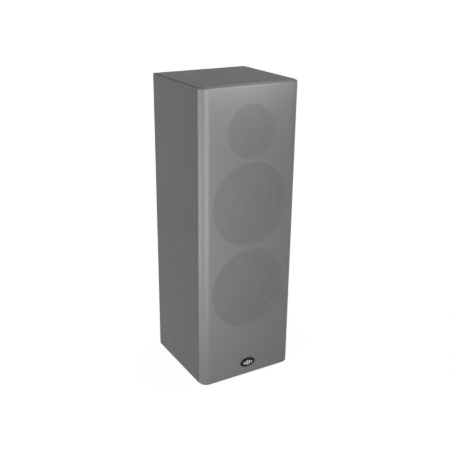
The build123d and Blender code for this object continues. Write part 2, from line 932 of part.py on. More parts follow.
def knob(x):
    """Fluted clamping knob with the post's thread through it."""
    end = knob_start + knob_length
    body = rod(knob_radius, x, cup_z, knob_start, end)
    body = fillet(body.edges().group_by(Axis.Y)[-1], knob_edge_round)
    body -= rod(post_radius + running_clearance, x, cup_z, knob_start, end)
    for dx, dz in around(knob_flutes, knob_radius + knob_flute_radius / 2, 0.0):
        body -= rod(knob_flute_radius, x + dx, cup_z + dz, knob_start + knob_flute_start, end)
    return body


# ------------------------------------------------------------------ crossover
def on_board(x, y):
    """Location of a point on the board's upper face, from the board's middle."""
    return Pos(x, board_y + y, board_top)


def crossover_board():
    plate = RectangleRounded(board_width, board_depth, board_corner)
    board = Pos(0, board_y, board_under) * extrude(plate, board_thickness)
    for x, y in board_screw_places:
        hole = small_shank_radius + screw_hole_clearance
        board -= Pos(x, y, board_under + board_thickness / 2) * Cylinder(hole, board_thickness)
    return board


def crossover_coils():
    """Three air-core windings."""
    coils = []
    for x, y, outside, core, tall in coil_layout:
        winding = Pos(0, 0, tall / 2) * (Cylinder(outside, tall) - Cylinder(core, tall))
        coils.append(on_board(x, y) * winding)
    return coils


def crossover_capacitors():
    """Two boxed film capacitors and one upright electrolytic."""
    box = Pos(0, 0, film_capacitor_size[2] / 2) * Box(*film_capacitor_size)
    box = fillet(box.edges().filter_by(Axis.Z), film_capacitor_round)
    can = Pos(0, 0, electrolytic_height / 2) * Cylinder(electrolytic_radius, electrolytic_height)
    can = fillet(can.edges().group_by(Axis.Z)[-1], electrolytic_round)
    return [on_board(x, y) * box for x, y in film_capacitor_places] + [on_board(*electrolytic_place) * can]


def crossover_resistors():
    """Two ceramic blocks side by side."""
    ceramic = Pos(0, 0, resistor_size[2] / 2) * Box(*resistor_size)
    ceramic = fillet(ceramic.edges().filter_by(Axis.Z), resistor_round)
    return [on_board(x, y) * ceramic for x, y in resistor_places]


def board_spacers():
    bore = small_shank_radius + screw_hole_clearance
    sleeve = Cylinder(spacer_radius, spacer_height) - Cylinder(bore, spacer_height)
    return [Pos(x, y, inner_bottom + spacer_height / 2) * sleeve for x, y in board_screw_places]


# ------------------------------------------------------------------------ leads
def lead(points, radius):
    """Round lead along straight runs joined by arcs as large as the runs beside them allow."""
    vectors = [Vector(*point) for point in points]
    radii = []
    for before, corner, after in zip(vectors, vectors[1:], vectors[2:]):
        turn = math.radians((corner - before).get_angle(after - corner))
        shorter = min((corner - before).length, (after - corner).length)
        radii.append(0.45 * shorter / math.tan(turn / 2))
    path = FilletPolyline(*vectors, radius=radii)
    start = path @ 0
    profile = Plane(start, z_dir=path % 0) * Circle(radius)
    tube = sweep(profile, path)
    share = tube.volume / (math.pi * radius**2 * path.length)
    shown = ", ".join(f"{value:.1f}" for value in radii)
    print(f"lead {path.length:.0f} mm long, bend radii {shown}, volume share {share:.4f}")
    return tube


def driver_lead(column, end_x, end_z, end_depth):
    """From the board up the back wall to a driver's terminal strip."""
    x = lead_columns[column]
    y = lead_wall_y
    foot_y = board_y + board_depth / 2 - lead_foot_inset
    return lead(
        [
            (x, foot_y, board_top),
            (x, foot_y, board_top + lead_foot_rise),
            (x, y, board_top + lead_wall_rise),
            (x, y, end_z - lead_turn_below),
            (x + (end_x - x) / 3, y - lead_turn_forward, end_z - 4.0),
            (end_x, depth(end_depth) + lead_straight_end, end_z),
            (end_x, depth(end_depth), end_z),
        ],
        lead_radius,
    )


def input_leads():
    """Two wires from the posts' tails down to the rear edge of the board."""
    leads = []
    tail = depth(recess_floor - cup_wall - post_tail)
    drop = input_lead_drop
    for x, z in post_places:
        points = [
            (x, tail, z),
            (x, tail - drop, z),
            (x, tail - 2 * drop, z - drop),
            (x, tail - 2 * drop, board_top),
        ]
        leads.append(lead(points, input_lead_radius))
    return leads


def lead_clips():
    """Saddle blocks on the back wall that hold the leads."""
    clips = []
    bore = lead_radius + running_clearance
    for column, heights in clip_heights.items():
        x = lead_columns[column]
        for z in map(height, heights):
            x_range = (x - clip_side / 2, x + clip_side / 2)
            saddle = block(x_range, (back_inner - clip_size, back_inner), (z, z + clip_width))
            hole = Pos(x, lead_wall_y, z + clip_width / 2) * Cylinder(bore, clip_width)
            clips.append(saddle - hole)
    return clips


# --------------------------------------------------------------------- grille
def grille_outline(inset):
    """Plan of the grille, set in by the cloth: its two front corners are rounded."""
    half = cabinet_width / 2 - inset
    front = cloth_front + inset
    back = cloth_front + grille_thickness
    radius = grille_edge_radius - inset
    bend = radius * (1 - math.sqrt(0.5))
    wires = [
        Line((-half, back), (-half, front + radius)),
        ThreePointArc((-half, front + radius), (-half + bend, front + bend), (-half + radius, front)),
        Line((-half + radius, front), (half - radius, front)),
        ThreePointArc((half - radius, front), (half - bend, front + bend), (half, front + radius)),
        Line((half, front + radius), (half, back)),
        Line((half, back), (-half, back)),
    ]
    return make_face(wires)


grille_back = -grille_gap
grille_front = -grille_gap - grille_thickness


def grille_body(inset):
    """Solid inside the grille's outline, softened along the front and sides of both ends."""
    body = Pos(0, 0, cabinet_bottom + inset) * extrude(grille_outline(inset), cabinet_height - 2 * inset)
    levels = body.edges().group_by(Axis.Z)
    back = cloth_front + grille_thickness
    ends = [edge for edge in levels[0] + levels[-1] if edge.center().Y < back - cloth_thickness]
    return fillet(ends, grille_end_round - inset)


def grille_frame():
    """Moulded board with a round window over each driver and blind holes for the pegs."""
    board = grille_body(cloth_thickness)
    for z in woofer_heights.values():
        board -= rod(woofer_window_radius, 0, z, grille_front, grille_back)
    board -= rod(tweeter_window_radius, 0, tweeter_z, grille_front, grille_back)
    for x, z in peg_places:
        board -= rod(peg_shank_radius, x, z, grille_back - peg_shank_length, grille_back)
    return board


def grille_cloth():
    """Cloth pulled over the front and round all four edges of the frame."""
    return grille_body(0) - grille_body(cloth_thickness)


def grille_pegs():
    pegs = []
    neck = grille_back + peg_neck_length
    tip = grille_back + peg_length
    for x, z in peg_places:
        peg = turned(
            [
                (0, grille_back - peg_shank_length),
                (peg_shank_radius, grille_back - peg_shank_length),
                (peg_shank_radius, grille_back),
                (peg_waist_radius, neck),
                (peg_radius, neck + peg_lead),
                (peg_radius, tip - peg_lead),
                (peg_waist_radius, tip),
                (0, tip),
            ],
            z,
        )
        pegs.append(Pos(x, 0, 0) * peg)
    return pegs


def peg_sockets():
    """Rubber cups pressed into the baffle; the peg's head slides in their bore."""
    cups = []
    bore = peg_radius + running_clearance
    for x, z in peg_places:
        cup = turned(
            [
                (bore, -socket_flange_thickness),
                (socket_flange_radius, -socket_flange_thickness),
                (socket_flange_radius, 0),
                (socket_radius, 0),
                (socket_radius, socket_depth),
                (0, socket_depth),
                (0, socket_depth - socket_floor),
                (bore, socket_depth - socket_floor),
            ],
            z,
        )
        cups.append(Pos(x, 0, 0) * cup)
    return cups


badge_z = height(badge_height)


def badge():
    """Oval plate with a softened front edge and shallow pockets for the bars."""
    thickness = badge_proud - badge_bar_proud
    plane = Plane((0, cloth_front, badge_z), x_dir=(1, 0, 0), z_dir=(0, -1, 0))
    plate = extrude(plane * Ellipse(badge_width / 2, badge_tall / 2), thickness)
    return chamfer(plate.edges().group_by(Axis.Y)[0], thickness * badge_edge_share)


def badge_inlay():
    """Row of upright bars, tallest in the middle, like a level meter at rest."""
    bars = []
    back = cloth_front - badge_proud + badge_bar_proud
    for index in range(badge_bars):
        x = (index - (badge_bars - 1) / 2) * badge_bar_pitch
        half = badge_bar_heights[index] / 2
        bars.append(
            block(
                (x - badge_bar_width / 2, x + badge_bar_width / 2),
                (back - badge_bar_proud, back),
                (badge_z - half, badge_z + half),
            )
        )
    return bars


# ------------------------------------------------------------------- assembly
def all_small_screws():
    """One kind of pan-head screw holds the tweeter, the cup, the feet and the board."""
    screws = []
    for x, z in tweeter_screw_places:
        screws.append(Pos(x, cabinet_front, z) * Rot(90, 0, 0) * small_screw())
    for x, z in cup_screw_places:
        screws.append(Pos(x, cabinet_rear + rear_flange, z) * Rot(-90, 0, 0) * small_screw())
    for x, y in foot_places:
        screws.append(Pos(x, y, foot_height - foot_web) * Rot(180, 0, 0) * small_screw())
    for x, y in board_screw_places:
        screws.append(Pos(x, y, board_top) * small_screw())
    return screws


def driver_gaskets():
    rings = []
    for z in woofer_heights.values():
        inner = woofer_flange_radius - gasket_width
        rings.append(ring(inner, woofer_flange_radius, woofer_flange_thickness, woofer_rebate, z))
    inner = tweeter_plate_radius - gasket_width
    rings.append(ring(inner, tweeter_plate_radius, tweeter_plate_thickness, tweeter_rebate, tweeter_z))
    screw_hole = small_shank_radius + screw_hole_clearance
    for x, z in tweeter_screw_places:
        rings[-1] -= rod(screw_hole, x, z, tweeter_plate_thickness, tweeter_rebate)
    screw_hole = large_shank_radius + screw_hole_clearance
    for index in range(len(woofer_heights)):
        for x, z in woofer_screw_places:
            rings[index] -= rod(screw_hole, x, z, woofer_flange_thickness, woofer_rebate)
    return rings


def build_nodes():
    nodes = cabinet_wraps()
    nodes["bottom_panel"] = bottom_with_holes(nodes["bottom_panel"])
    nodes["front_baffle"] = front_baffle()
    nodes["back_panel"] = back_panel()
    nodes["window_brace"] = window_brace()
    nodes["damping_felt"] = damping_felt()
    nodes["feet"] = feet()
    nodes["spike_inserts"] = spike_inserts()

    centres = woofer_heights.values()
    nodes["woofer_baskets"] = [basket(z) for z in centres]
    nodes["woofer_top_plates"] = [
        ring(gap_radius, top_plate_radius, basket_depth, magnet_start, z) for z in centres
    ]
    nodes["woofer_magnets"] = [
        ring(magnet_hole_radius, magnet_radius, magnet_start, yoke_start, z) for z in centres
    ]
    nodes["woofer_yokes"] = [woofer_yoke(z) for z in centres]
    trim_inner = surround_centre_radius + surround_roll_radius + trim_ring_gap
    nodes["woofer_trim_rings"] = [
        ring(trim_inner, trim_ring_outer, -trim_ring_thickness, 0, z) for z in centres
    ]
    strips = [tag_strip(tag_x, z, basket_waist_depth) for z in centres]
    strips.append(tag_strip(0, tweeter_z, tweeter_end))
    nodes["driver_terminals"] = strips
    nodes["driver_gaskets"] = driver_gaskets()
    nodes["woofer_screws"] = [
        Pos(x, cabinet_front, z) * Rot(90, 0, 0) * large_screw() for x, z in woofer_screw_places
    ]
    nodes["small_screws"] = all_small_screws()
    for name, z in woofer_heights.items():
        nodes[f"woofer_{name}_cone"] = cone(z)
        nodes[f"woofer_{name}_dust_cap"] = dust_cap(z)
        nodes[f"woofer_{name}_surround"] = surround(z)
        nodes[f"woofer_{name}_spider"] = spider(z)
        nodes[f"woofer_{name}_voice_coil"] = woofer_voice_coil(z)

    nodes["tweeter_faceplate"] = tweeter_faceplate()
    nodes["tweeter_dome"] = tweeter_dome()
    nodes["tweeter_surround"] = tweeter_surround()
    nodes["tweeter_voice_coil"] = tweeter_voice_coil()
    nodes["tweeter_top_plate"] = ring(
        tweeter_gap_radius, tweeter_hub_radius, tweeter_hub_depth, tweeter_magnet_start, tweeter_z
    )
    nodes["tweeter_magnet"] = ring(
        tweeter_magnet_hole_radius, tweeter_magnet_radius, tweeter_magnet_start, tweeter_yoke_start, tweeter_z
    )
    nodes["tweeter_yoke"] = tweeter_yoke()

    nodes["port_tube"] = port_tube()
    nodes["terminal_cup"] = terminal_cup()
    nodes["binding_posts"] = binding_posts()
    nodes["post_nuts"] = post_nuts()
    for colour, (x, z) in zip(("red", "black"), post_places):
        nodes[f"clamp_washer_{colour}"] = clamp_washer(x)
        nodes[f"knob_{colour}"] = knob(x)

    nodes["crossover_board"] = crossover_board()
    nodes["crossover_coils"] = crossover_coils()
    nodes["crossover_capacitors"] = crossover_capacitors()
    nodes["crossover_resistors"] = crossover_resistors()
    nodes["board_spacers"] = board_spacers()
    strip_back = basket_waist_depth + tag_thickness
    for name, z in woofer_heights.items():
        nodes[f"lead_woofer_{name}"] = driver_lead(name, tag_x, z, strip_back)
    nodes["lead_tweeter"] = driver_lead("tweeter", 0.0, tweeter_z, tweeter_end + tag_thickness)
    nodes["leads_input"] = input_leads()
    nodes["lead_clips"] = lead_clips()

    nodes["grille_frame"] = grille_frame()
    nodes["grille_cloth"] = grille_cloth()
    nodes["grille_pegs"] = grille_pegs()
    nodes["peg_sockets"] = peg_sockets()
    nodes["badge"] = badge()
    nodes["badge_bars"] = badge_inlay()
    return nodes


def write_nodes(nodes):
    """One STEP file for each node; a node of several pieces is written as a compound."""
    os.makedirs("parts", exist_ok=True)
    for name, shape in nodes.items():
        if isinstance(shape, list):
            shape = Compound(children=[piece for item in shape for piece in item.solids()])
        export_step(shape, f"parts/{name}.step")
    print(len(nodes), "nodes written")


write_nodes(build_nodes())
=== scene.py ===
# %% [markdown]
# # A column loudspeaker, from its solid model to a studio picture
# The loudspeaker is already designed as solids: a wrapped cabinet, two woofers, a tweeter, a
# port, terminals and a lift-off grille, with every moving piece on its own body. Those solids
# could be painted as they are, or modelled again from nothing. Here they stay as the frame that
# everything else is measured from, and only soft or pressed pieces are drawn afresh.

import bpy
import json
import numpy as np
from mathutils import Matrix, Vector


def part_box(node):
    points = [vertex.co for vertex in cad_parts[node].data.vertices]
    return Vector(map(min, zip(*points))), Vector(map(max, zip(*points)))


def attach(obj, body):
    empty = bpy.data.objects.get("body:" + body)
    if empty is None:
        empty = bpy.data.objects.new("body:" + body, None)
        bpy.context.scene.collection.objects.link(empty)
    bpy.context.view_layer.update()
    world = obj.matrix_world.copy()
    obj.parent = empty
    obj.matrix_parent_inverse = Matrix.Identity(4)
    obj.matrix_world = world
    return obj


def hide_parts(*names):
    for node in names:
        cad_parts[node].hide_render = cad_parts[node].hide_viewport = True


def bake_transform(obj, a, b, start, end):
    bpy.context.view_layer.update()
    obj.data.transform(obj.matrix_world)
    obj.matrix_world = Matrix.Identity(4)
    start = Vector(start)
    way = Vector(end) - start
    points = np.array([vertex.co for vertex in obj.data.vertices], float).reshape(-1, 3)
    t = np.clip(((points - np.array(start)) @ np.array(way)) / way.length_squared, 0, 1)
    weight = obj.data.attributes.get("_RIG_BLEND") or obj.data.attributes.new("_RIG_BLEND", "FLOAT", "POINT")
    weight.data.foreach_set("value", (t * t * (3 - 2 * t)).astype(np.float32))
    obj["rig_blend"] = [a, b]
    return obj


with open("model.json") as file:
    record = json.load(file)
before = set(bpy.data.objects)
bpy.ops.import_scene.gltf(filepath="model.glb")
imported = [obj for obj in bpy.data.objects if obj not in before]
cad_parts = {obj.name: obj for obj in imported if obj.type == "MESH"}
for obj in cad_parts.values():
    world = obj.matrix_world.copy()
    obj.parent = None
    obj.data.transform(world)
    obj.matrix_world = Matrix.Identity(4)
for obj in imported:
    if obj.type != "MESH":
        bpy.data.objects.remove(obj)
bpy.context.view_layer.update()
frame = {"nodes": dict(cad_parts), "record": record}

# %% [markdown]
# The modules for the steps below are loaded here. New pieces may be rounder or softer than the
# solids, but they shouldn't be bigger.

# %% Modules for the steps below
import json
import math

import bmesh
import bpy
import numpy as np
from mathutils import Matrix, Vector

# %% [markdown]
# A picture is lit in linear light, but people pick colours as screen values. One function
# turns an sRGB hex value into linear numbers, so each finish below can be named by the colour
# an eye would match it with.


# %% Colours and millimetres
def linear(hex_colour):
    """Each sRGB channel c becomes ((c + 0.055) / 1.055) to the power 2.4, or c / 12.92 near black."""
    channels = np.array([int(hex_colour[i : i + 2], 16) for i in (1, 3, 5)]) / 255
    bright = ((channels + 0.055) / 1.055) ** 2.4
    return (*np.where(channels > 0.04045, bright, channels / 12.92), 1.0)


def mm(length):
    return length / 1000


print("mid grey is", [round(float(value), 3) for value in linear("#808080")])

# %% [markdown]
# Every finish is a small graph of nodes. Written out in full, each node takes three or four
# lines, so one function adds a node, sets it up and joins its inputs. A colour ramp's stops are
# the one setting that isn't a plain value, so they are handled here too.


# %% One function that adds a node
def add(tree, kind, inputs=None, stops=None, **settings):
    node = tree.nodes.new(kind)
    for name, value in settings.items():
        setattr(node, name, value)
    for name, value in (inputs or {}).items():
        if isinstance(value, bpy.types.NodeSocket):
            tree.links.new(value, node.inputs[name])
        else:
            node.inputs[name].default_value = value
    for element, (position, colour) in zip(node.color_ramp.elements if stops else (), stops or ()):
        element.position, element.color = position, linear(colour)
    return node


# %% [markdown]
# Most made surfaces share one habit: where the grain is high it is also a touch lighter and
# duller, because dust, wear and light all follow the relief. So colour, gloss and height are all
# read from a single noise, whose grain has a real size in millimetres. The other way is one
# texture for each, which rarely agree with one another.


# %% A finish whose colour, gloss and relief follow one grain
noise_span = (0.35, 0.65)  # almost all of a noise's values lie between these


def grained(name, dark, light, grain, relief, rough, stretch=(1, 1, 1), read="Object", **constants):
    """Noise of the given grain in mm, squeezed by stretch, drives all three; relief is its height in mm."""
    material = bpy.data.materials.new(name)
    material.use_nodes = True
    tree = material.node_tree
    place = add(tree, "ShaderNodeTexCoord")
    scaled = add(tree, "ShaderNodeMapping", {"Vector": place.outputs[read], "Scale": stretch})
    noise = add(
        tree,
        "ShaderNodeTexNoise",
        {"Vector": scaled.outputs[0], "Scale": 1 / mm(grain), "Detail": 4.0, "Roughness": 0.55},
    )
    grey = noise.outputs["Fac"]
    low, high = noise_span
    colour = add(tree, "ShaderNodeValToRGB", {"Fac": grey}, ((low, dark), (high, light)))
    gloss = add(
        tree,
        "ShaderNodeMapRange",
        {"Value": grey, "From Min": low, "From Max": high, "To Min": rough[0], "To Max": rough[1]},
    )
    height = add(tree, "ShaderNodeBump", {"Height": grey, "Distance": mm(relief), "Strength": 1.0})
    shader = tree.nodes["Principled BSDF"]
    tree.links.new(colour.outputs["Color"], shader.inputs["Base Color"])
    tree.links.new(gloss.outputs["Result"], shader.inputs["Roughness"])
    tree.links.new(height.outputs["Normal"], shader.inputs["Normal"])
    for socket, value in constants.items():
        shader.inputs[socket.replace("_", " ").replace("Ior", "IOR")].default_value = value
    return material


# %% [markdown]
# Three of the finishes below change one node of that graph or add to it, so a second helper
# finds a node again by its type.


# %% Find a node again
def found(tree, kind):
    """The first node of a kind in a tree."""
    return next(node for node in tree.nodes if node.type == kind)


# %% [markdown]
# The cabinet is chipboard's finer cousin, MDF, wrapped in a satin grey film. The film has a fine
# pebble, too small for the eye to count but enough to spread every reflection, and long, faint
# tone changes from the rollers that printed it. Plain grey plastic would be the quick way; the
# pebble plus the long tones are what stop it from looking like one.

# %% Satin film on the cabinet
film_pebble = 0.9  # the real pebble is about 0.3 mm; drawn coarser so that it shows
film_tone_length = 70.0

cabinet_film = grained(
    "satin vinyl film", "#474748", "#4d4d4e", film_pebble, 0.035, (0.40, 0.47), IOR=1.52
)
tree = cabinet_film.node_tree
place = found(tree, "TEX_COORD")
tones = add(
    tree,
    "ShaderNodeTexNoise",
    {"Vector": place.outputs["Object"], "Scale": 1 / mm(film_tone_length), "Detail": 2.0},
)
faint, full = (0.3, "#f1f1f1"), (0.7, "#ffffff")
shade = add(tree, "ShaderNodeValToRGB", {"Fac": tones.outputs["Fac"]}, (faint, full))
ramp = found(tree, "VALTORGB")
tint = add(
    tree,
    "ShaderNodeMix",
    {6: ramp.outputs["Color"], 7: shade.outputs["Color"], "Factor": 1.0},
    data_type="RGBA",
    blend_type="MULTIPLY",
)
tree.links.new(tint.outputs[2], tree.nodes["Principled BSDF"].inputs["Base Color"])
print("film pebble drawn at", film_pebble, "mm")

# %% [markdown]
# The rest of the finishes, one line each. MDF is warm brown and fibrous; black paint on it is
# dead matt; pressed steel is powder-coated and slightly orange-peeled; motor plates are
# zinc-plated, so they are metal with a cool tint; ferrite is a dark dull ceramic. Typical gloss
# values for each are a better start than guessing from black to white.

# %% Boards, paints, metals and plastics
finishes = {
    # fibres 1.5 mm long, pressed flat: a soft brown that drinks the light
    "raw_mdf": grained("bare MDF", "#8a6f4e", "#a58861", 1.5, 0.05, (0.75, 0.85), (1, 1, 2)),
    # roller paint over MDF: nearly black, with the roller's stipple
    "baffle_paint": grained("matt black paint", "#151516", "#1d1d1e", 1.2, 0.04, (0.62, 0.72), IOR=1.5),
    # a spark-eroded mould leaves a fine even texture on ABS
    "grille_board": grained("moulded grey ABS", "#4a4a4b", "#525253", 0.8, 0.03, (0.5, 0.6), IOR=1.53),
    "moulded_abs": grained("textured black ABS", "#141415", "#1f1f20", 0.8, 0.04, (0.42, 0.55), IOR=1.53),
    "faceplate_plastic": grained(
        "fine-textured black ABS", "#161617", "#1f1f20", 0.7, 0.03, (0.40, 0.5), IOR=1.53
    ),
    "black_nylon": grained("moulded black nylon", "#121213", "#1a1a1b", 1.0, 0.02, (0.35, 0.45), IOR=1.53),
    # moulded rubber is dark and a little chalky
    "soft_rubber": grained("moulded rubber", "#171718", "#242425", 1.4, 0.04, (0.55, 0.7), IOR=1.52),
    # closed cells about half a millimetre across
    "foam_gasket": grained("closed-cell foam", "#1b1b1b", "#2e2e2e", 0.6, 0.12, (0.85, 0.95)),
    # powder coat melts into a slight orange peel about 1.5 mm across
    "basket_paint": grained("powder-coated steel", "#131314", "#1b1b1c", 1.5, 0.05, (0.35, 0.48), IOR=1.5),
    # zinc plate: metal, cool grey, softened by its crystals
    "motor_steel": grained("zinc-plated steel", "#b5b5b0", "#c6c6c2", 2.0, 0.02, (0.3, 0.42), Metallic=1.0),
    # sintered ferrite: a dull black ceramic with open grain
    "ferrite": grained("sintered ferrite", "#2a2a2b", "#38383a", 1.2, 0.06, (0.6, 0.75), IOR=1.8),
    # hot-dip tin over brass: pale, slightly yellow metal
    "tinned_brass": grained("tinned brass", "#cfc6a4", "#ddd6ba", 1.0, 0.01, (0.28, 0.38), Metallic=1.0),
    # turning leaves fine rings; a stretched grain reads as lathe marks
    "insert_brass": grained(
        "turned brass", "#c09a55", "#d5b36e", 0.6, 0.02, (0.25, 0.35), (1, 1, 6), Metallic=1.0
    ),
    # gold plate is polished first, so the gloss is high
    "gold_plate": grained("gold plate", "#e2b862", "#f0cc7c", 1.5, 0.005, (0.12, 0.2), Metallic=1.0),
    # black oxide leaves dark metal with an oily sheen
    "black_screws": grained("black-oxide steel", "#2b2b2c", "#373738", 0.8, 0.01, (0.3, 0.42), Metallic=1.0),
    # clear-tinted acrylic knobs: saturated, glossy, with a lacquer-like surface
    "knob_red": grained(
        "red tinted acrylic", "#9c1414", "#b01b1b", 4.0, 0.0, (0.1, 0.16), IOR=1.49, Coat_Weight=0.5
    ),
    "knob_black": grained(
        "black acrylic", "#0e0e0f", "#161617", 4.0, 0.0, (0.1, 0.16), IOR=1.49, Coat_Weight=0.5
    ),
    # glass-fibre board: green-brown with the weave just visible
    "circuit_board": grained("glass-fibre board", "#2f4a25", "#3a5a2e", 0.8, 0.02, (0.35, 0.45), IOR=1.55),
    # capacitors are dipped in yellow resin
    "film_capacitor": grained("potted film capacitor", "#b98a1e", "#c99a2c", 3.0, 0.03, (0.2, 0.3), IOR=1.55),
    # ceramic blocks are chalky white
    "cement_resistor": grained("cement ceramic", "#cfcdc4", "#dedcd4", 0.9, 0.08, (0.8, 0.9)),
    # PVC leads are smooth and slightly soft
    "lead_jacket": grained("PVC lead jacket", "#19191a", "#212122", 2.0, 0.02, (0.4, 0.5), IOR=1.53),
    # thermoformed cap: plain matt plastic
    "cap_plastic": grained("matt moulded cap", "#1b1b1c", "#232324", 0.8, 0.02, (0.45, 0.55), IOR=1.5),
    # silk dipped in damping lacquer: dark, tacky, low sheen
    "silk_dome": grained("coated silk", "#1a1a1c", "#26262a", 0.5, 0.02, (0.4, 0.5), Sheen_Weight=0.2),
}
finishes["cabinet_film"] = cabinet_film
print(len(finishes), "grained finishes")

# %% [markdown]
# Some finishes carry a pattern that a plain noise can't give: copper windings show turn after
# turn, brushed aluminium shows lines, resin-dipped cloth shows its weave and felt its tangled hair.
# Each is the grained finish with its noise stretched, or with bands worked out from the real
# spacing. Paper pulp has long fibres, but the cone's noise is not stretched: it is plain noise
# read on the cone's UV map.

# %% Fibres, turns and brushing
finishes["paper_cone"] = grained(
    "pressed paper pulp", "#18181a", "#252528", 1.1, 0.08, (0.7, 0.85), (1, 1, 1), "UV"
)
finishes["badge_metal"] = grained(
    "brushed aluminium", "#c9cacc", "#dcdddf", 6.0, 0.004, (0.22, 0.36), (40, 1, 1), Metallic=1.0
)
finishes["badge_gloss"] = grained(
    "black lacquer", "#040405", "#070708", 20.0, 0.0, (0.12, 0.18), IOR=1.5, Specular_Ior_Level=0.2
)
finishes["wool_felt"] = grained(
    "needled wool felt", "#4a4846", "#6b6864", 2.5, 0.5, (0.9, 1.0), (1, 1, 3), Sheen_Weight=0.4
)
print(len(finishes), "finishes so far")

# %% [markdown]
# A winding is wire laid side by side, so its surface is a row of half-round bumps. The bands
# could be modelled as hundreds of rings; at this size a wave across the winding is enough, and
# its period is the wire's real thickness.

# %% Copper windings
coil_wire = 1.0
voice_wire = 0.5  # the real wire is 0.2 mm; drawn coarser so that it shows


def wound(name, wire, direction):
    """Grained copper whose height is a sine along the winding's axis, one wave for each turn."""
    material = grained(name, "#a8552c", "#c56a3a", 3.0, 0.0, (0.25, 0.35), Metallic=1.0, Coat_Weight=0.4)
    tree = material.node_tree
    place = found(tree, "TEX_COORD")
    turns = add(
        tree,
        "ShaderNodeTexWave",
        {"Vector": place.outputs["Object"], "Scale": 2 * math.pi / 20 / mm(wire)},
        bands_direction=direction,
    )
    bump = found(tree, "BUMP")
    bump.inputs["Distance"].default_value = mm(wire) / 2
    tree.links.new(turns.outputs["Fac"], bump.inputs["Height"])
    return material


finishes["copper_winding"] = wound("enamelled copper turns", coil_wire, "Z")
voice_copper = wound("voice coil copper", voice_wire, "Y")
print("turns every", coil_wire, "and", voice_wire, "mm")

# %% [markdown]
# Woven cloth is two sets of threads at right angles. On the grille it is stretched, so the
# threads run straight: a wave along the width times a wave along the height gives the crossings.
# Yarn is never even, so long thin streaks follow the threads. The weave reads the cloth's own
# UV map, laid out in metres of flat cloth, so it turns round the edges with the cloth.


# %% Woven cloth
yarn_streak = (120, 1, 1)  # uneven yarn: the tone changes 120 times faster across a thread than along it
yarn_tone_length = 60.0


def woven(name, dark, light, thread, relief, read, **constants):
    """Height is the product of two thread waves at right angles; colour follows stretched noise."""
    material = grained(name, dark, light, yarn_tone_length, 0.0, (0.5, 0.6), yarn_streak, read, **constants)
    tree = material.node_tree
    place = found(tree, "TEX_COORD")
    waves = [
        add(
            tree,
            "ShaderNodeTexWave",
            {"Vector": place.outputs[read], "Scale": 2 * math.pi / 20 / mm(thread)},
            bands_direction=direction,
        )
        for direction in ("X", "Y" if read == "UV" else "Z")
    ]
    warp, weft = (wave.outputs["Fac"] for wave in waves)
    crossing = add(tree, "ShaderNodeMath", {0: warp, 1: weft}, operation="MULTIPLY")
    bump = found(tree, "BUMP")
    bump.inputs["Distance"].default_value = mm(relief)
    tree.links.new(crossing.outputs["Value"], bump.inputs["Height"])
    return material


cloth_thread = 1.5  # the real threads are about 0.5 mm apart; drawn coarser so that they show
cloth_cover = 0.67  # the share of the light that the threads stop; the rest goes between them
finishes["grille_cloth"] = woven(
    "stretched polyester cloth",
    "#4b4b4c",
    "#545455",
    cloth_thread,
    0.05,
    "UV",
    Sheen_Weight=0.1,
    Alpha=cloth_cover,
)
spider_thread = 1.0
finishes["spider_cloth"] = woven("resin-dipped cotton", "#a37a2e", "#c0954a", spider_thread, 0.15, "Object")
print("threads drawn every", cloth_thread, "and", spider_thread, "mm")

# %% [markdown]
# Each solid piece belongs to a material slot in the model's record, so dressing it is a lookup.
# The piece itself isn't touched: only its material changes.

# %% Dress the solid pieces
slots = {part["node"]: part["material_slot"] for part in frame["record"]["subparts"]}
for name, node in frame["nodes"].items():
    node.data.materials.clear()
    node.data.materials.append(finishes[slots[name]])
for name in ("woofer_upper_voice_coil", "woofer_lower_voice_coil", "tweeter_voice_coil"):
    frame["nodes"][name].data.materials[0] = voice_copper
print("dressed", len(slots), "pieces")

# %% [markdown]
# New pieces are drawn as surfaces: a grid of points worked out with whole arrays, then handed to
# Blender in one go. A shape made of several patches shares edges, so points that coincide are
# merged, which also closes seams and poles. A closed shape's faces are then turned outwards; an
# open one, such as cloth, keeps the side its patches were given.


# %% From grids of points to a mesh
def surface(name, patches, closed=True, sharp=50):
    """Each patch is (points, uv) in rows and columns; quads join neighbouring points."""
    points, uvs, quads, count = [], [], [], 0
    for grid, uv in patches:
        rows, columns = grid.shape[:2]
        index = count + np.arange(rows * columns).reshape(rows, columns)
        corners = (index[:-1, :-1], index[:-1, 1:], index[1:, 1:], index[1:, :-1])
        quads.append(np.stack(corners, -1).reshape(-1, 4))
        points.append(grid.reshape(-1, 3))
        uvs.append(uv.reshape(-1, 2))
        count += rows * columns
    quads, uvs = np.concatenate(quads), np.concatenate(uvs)
    mesh = bpy.data.meshes.new(name)
    mesh.from_pydata(np.concatenate(points), [], quads)
    mesh.uv_layers.new(name="flat").data.foreach_set("uv", uvs[quads.ravel()].ravel().astype(np.float32))
    shape = bmesh.new()
    shape.from_mesh(mesh)
    bmesh.ops.remove_doubles(shape, verts=shape.verts, dist=mm(0.005))
    bmesh.ops.dissolve_degenerate(shape, edges=shape.edges, dist=mm(0.001))
    if closed:
        bmesh.ops.recalc_face_normals(shape, faces=shape.faces)
    shape.to_mesh(mesh)
    shape.free()
    mesh.shade_smooth()
    mesh.set_sharp_from_angle(angle=math.radians(sharp))
    made = bpy.data.objects.new(name, mesh)
    bpy.context.scene.collection.objects.link(made)
    print(name, len(mesh.polygons), "faces")
    return made


def finish_piece(made, body, slot_name, *stands_for):
    """Gives a piece its finish, puts it on its body and hides the solids it stands for."""
    made.data.materials.append(finishes[slot_name])
    if body:
        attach(made, body)
    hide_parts(*stands_for)
    return made


